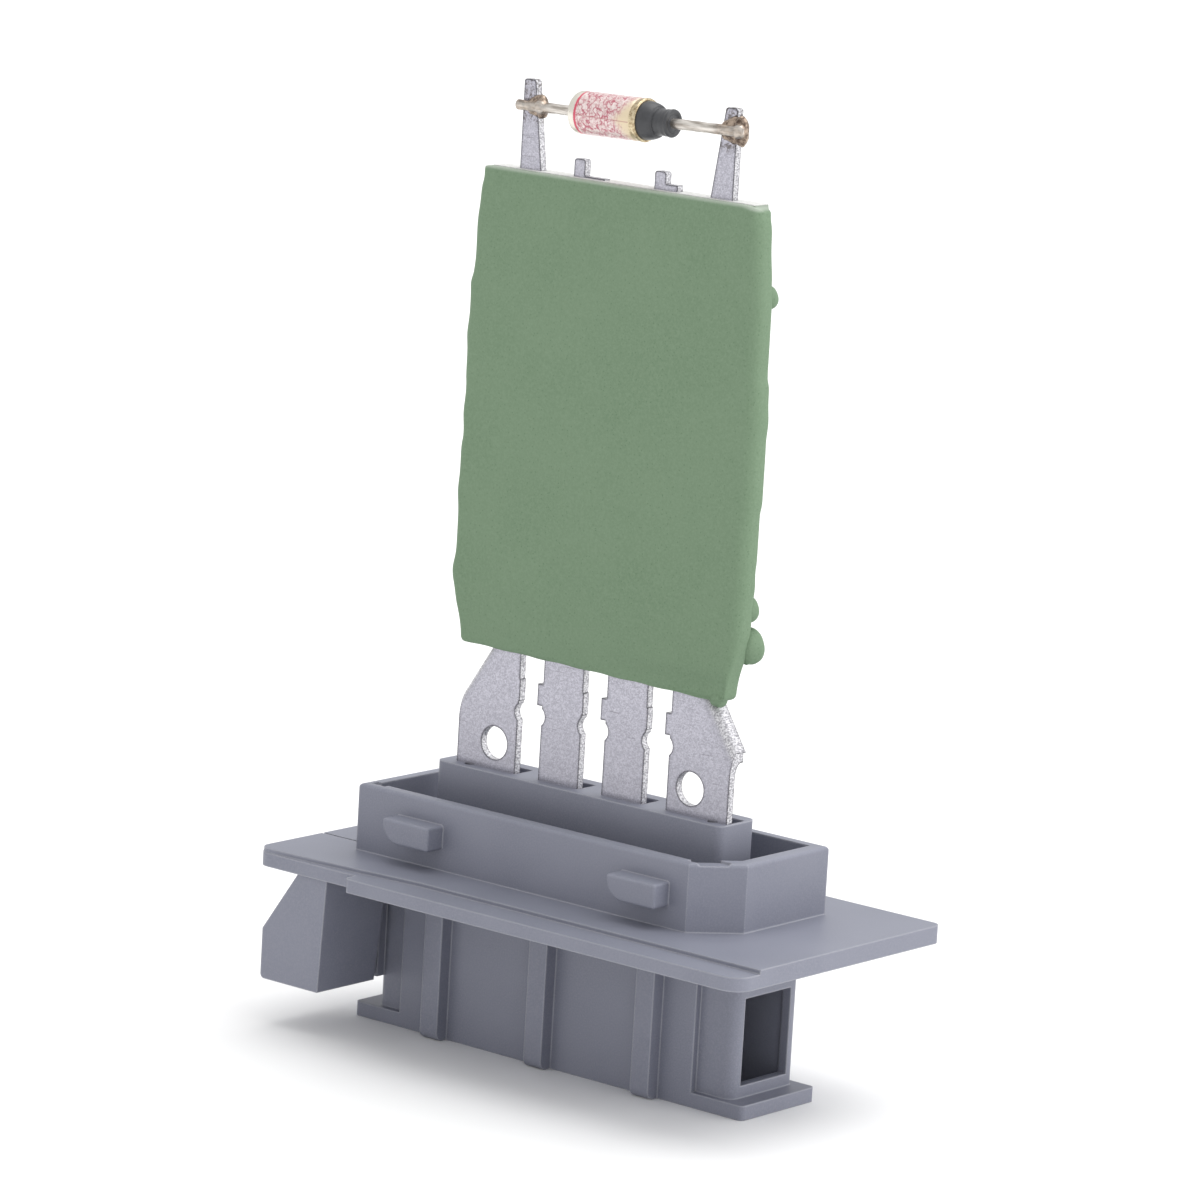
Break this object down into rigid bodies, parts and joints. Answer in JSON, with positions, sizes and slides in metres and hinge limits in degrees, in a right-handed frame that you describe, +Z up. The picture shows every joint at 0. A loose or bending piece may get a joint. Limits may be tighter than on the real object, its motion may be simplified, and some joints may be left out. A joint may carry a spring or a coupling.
{
  "type": "blower motor resistor",
  "caption": "Upright blower speed resistor: a cement-coated plate on flat terminal strips stands in a flanged plastic base with a connector shroud, and a thermal fuse bridges its top.",
  "frame": {"origin": "on the flange's top face, in the middle of the tower and of the shroud's depth", "axes": "+X along the row of terminal strips towards the shroud's window, +Y to the back, away from the snap lugs, +Z up through the resistor plate"},
  "size_m": [0.0617, 0.0315, 0.0946],
  "materials": {
    "housing_plastic": "satin moulded grey plastic",
    "strip_metal": "matte tinned sheet with bright sheared edges",
    "core_ceramic": "matte white fired ceramic",
    "green_cement": "matte fine-grained green cement",
    "element_metal": "dull resistance alloy",
    "fuse_can": "semi-gloss can with red printed fields",
    "fuse_resin": "semi-gloss dark resin",
    "lead_metal": "tinned wire, browned at the weld"
  },
  "bodies": {
    "root": {"base_housing": "housing_plastic", "terminal_strip_1": "strip_metal", "terminal_strip_2": "strip_metal", "terminal_strip_3": "strip_metal", "terminal_strip_4": "strip_metal", "ceramic_core": "core_ceramic", "cement_coating": "green_cement", "resistor_element_1": "element_metal", "resistor_element_2": "element_metal", "resistor_element_3": "element_metal", "fuse_case": "fuse_can", "fuse_seal": "fuse_resin", "fuse_lead_left": "lead_metal", "fuse_lead_right": "lead_metal"}
  },
  "joints": []
}
